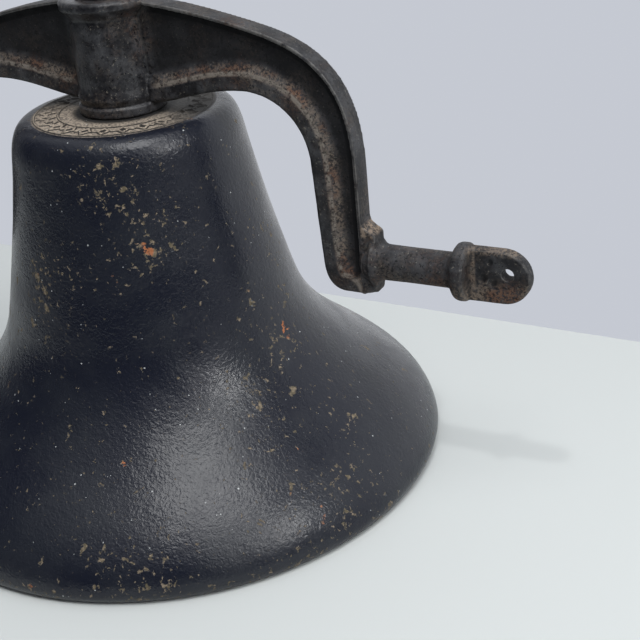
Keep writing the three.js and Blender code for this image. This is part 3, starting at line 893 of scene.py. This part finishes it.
def slope_cove(mesh, from_back, from_belly):
    """Turns the steps between the bead and the web into one even slope."""
    points = coordinates(mesh)
    out = np.abs(points[:, 0]) / MM
    weight = np.clip((from_belly - 11.2) / 1.5, 0, 1)
    weight *= np.clip((from_back - 4.0) / 2.0, 0, 1)
    weight *= np.clip((185 - out) / 2.0, 0, 1) * np.clip((out - 34) / 6.0, 0, 1)
    even = evened(mesh, points, COVE_PASSES)
    points += (even - points) * weight[:, None]
    along = np.clip((from_belly - COVE_START) / (COVE_END - COVE_START), 0, 1)
    depth = (BEAD_HALF + (WEB_HALF - BEAD_HALF) * along) * MM
    target = np.sign(points[:, 1]) * depth
    points[:, 1] += (target - points[:, 1]) * weight * 0.8
    points += (evened(mesh, points, 2) - points) * weight[:, None]
    set_coordinates(mesh, points)


def build_yoke():
    mesh = rounded_mesh("yoke", CAST_VOXEL, 2)
    across, _, up = np.abs(coordinates(mesh)).T
    outer, inner = arm_lines()
    from_back = distance_to(outer, across, up)
    from_belly = distance_to(inner, across, up)
    slope_cove(mesh, from_back, from_belly)
    dent_tabs(mesh)
    cast_surface(mesh, (25, 0.30 * MM), (150, 0.08 * MM), (420, 0.05 * MM))
    paint_relief(mesh, 8)
    paint(mesh, "from_back", from_back)
    paint(mesh, "from_belly", from_belly)
    link("yoke_cast", mesh, "bell", "yoke_iron", yoke_iron(), "yoke")


# ---------------------------------------------------------------- hardware

THREAD_DEPTH = 0.42                 # of the pitch
NUT_CONE = math.radians(30)
BOLT_RADIUS = 8 * MM
BOLT_PITCH = 2.3 * MM
BOLT_THREAD_BELOW_NUT = 20 * MM
BOLT_NUT_CORNER = 15.2 * MM
PIN_RADIUS = 5 * MM
PIN_PITCH = 1.5 * MM
PIN_NUT_CORNER = 8.2 * MM
PIN_VOXEL = 0.35 * MM
NUT_VOXEL = 0.5 * MM
BOLT_VOXEL = 0.45 * MM
COTTER_VOXEL = 0.3 * MM
STRIKE_HALF = 26.2 * MM             # the clapper's ball is beaten flat at this depth


def cut_thread(mesh, axis, centre, radius, start, end, pitch):
    """A helical groove round a rod, by moving the points of its side inwards."""
    points = coordinates(mesh)
    side = [i for i in range(3) if i != axis]
    across = points[:, side] - np.array(centre)
    out = np.hypot(across[:, 0], across[:, 1])
    turn = np.arctan2(across[:, 1], across[:, 0]) / (2 * math.pi)
    phase = (points[:, axis] / pitch + turn) % 1.0
    groove = pitch * THREAD_DEPTH * (1 - np.abs(phase * 2 - 1))
    on_side = (points[:, axis] > start) & (points[:, axis] < end)
    on_side &= (out > radius * 0.86) & (out < radius * 1.08)
    scale = np.where(on_side, 1 - groove / np.maximum(out, 1e-9), 1)
    points[:, side] = across * scale[:, None] + np.array(centre)
    set_coordinates(mesh, points)


def chamfer_corners(mesh, axis, centre, low, high, radius):
    """Cuts a square nut's corners back to a 30 degree cone on both faces."""
    points = coordinates(mesh)
    side = [i for i in range(3) if i != axis]
    out = np.hypot(*(points[:, side] - np.array(centre)).T)
    cut = np.maximum(out - radius, 0) * math.tan(NUT_CONE)
    points[:, axis] = np.clip(points[:, axis], low + cut, high - cut)
    set_coordinates(mesh, points)


def forged(node, steel, voxel, shape=None):
    """One piece of the hardware: rounded, shaped, roughened and linked."""
    mesh = rounded_mesh(node, voxel, 2)
    if shape:
        shape(mesh)
    cast_surface(mesh, (150, 0.06 * MM), (500, 0.04 * MM))
    paint_relief(mesh, 6)
    link(node + "_forged", mesh, "bell", "hardware", steel, node)


def build_hardware():
    steel = rusted_steel()
    nut_low, nut_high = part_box("top_nut")
    bolt_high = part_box("centre_bolt")[1]
    pin_low, pin_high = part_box("clapper_pin")
    pin_nut_low, pin_nut_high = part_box("clapper_pin_nut")
    pivot = (0, (pin_nut_low.z + pin_nut_high.z) / 2)
    thread_start = nut_low.z - BOLT_THREAD_BELOW_NUT
    forged("centre_bolt", steel, BOLT_VOXEL, lambda mesh: cut_thread(
        mesh, 2, (0, 0), BOLT_RADIUS, thread_start, bolt_high.z, BOLT_PITCH))
    forged("top_nut", steel, NUT_VOXEL, lambda mesh: chamfer_corners(
        mesh, 2, (0, 0), nut_low.z, nut_high.z, BOLT_NUT_CORNER))
    forged("clapper_pin", steel, PIN_VOXEL, lambda mesh: (
        cut_thread(mesh, 0, pivot, PIN_RADIUS, pin_nut_low.x, pin_high.x, PIN_PITCH),
        chamfer_corners(mesh, 0, pivot, pin_low.x, math.inf, PIN_NUT_CORNER),
    ))
    forged("clapper_pin_nut", steel, PIN_VOXEL, lambda mesh: chamfer_corners(
        mesh, 0, pivot, pin_nut_low.x, pin_nut_high.x, PIN_NUT_CORNER))
    forged("clapper_pin_cotter", steel, COTTER_VOXEL)
    forged("inner_washer", steel, NUT_VOXEL)
    forged("top_washer", steel, NUT_VOXEL)


def build_clapper():
    """A forged rod and ball, with a flat beaten on each side that strikes."""
    mesh = rounded_mesh("clapper", CAST_VOXEL, 4)
    cast_surface(mesh, (60, 0.25 * MM), (240, 0.12 * MM))
    points = coordinates(mesh)
    points[:, 1] = np.clip(points[:, 1], -STRIKE_HALF, STRIKE_HALF)
    set_coordinates(mesh, points)
    paint_relief(mesh, 8)
    link("clapper_cast", mesh, "clapper", "clapper_iron", clapper_iron(), "clapper")


bpy.context.scene.view_settings.view_transform = "Standard"
add_camera()
add_floor()
add_world()
for light in LIGHTS:
    add_area_light(*light)
build_bell()
build_yoke()
build_clapper()
build_hardware()
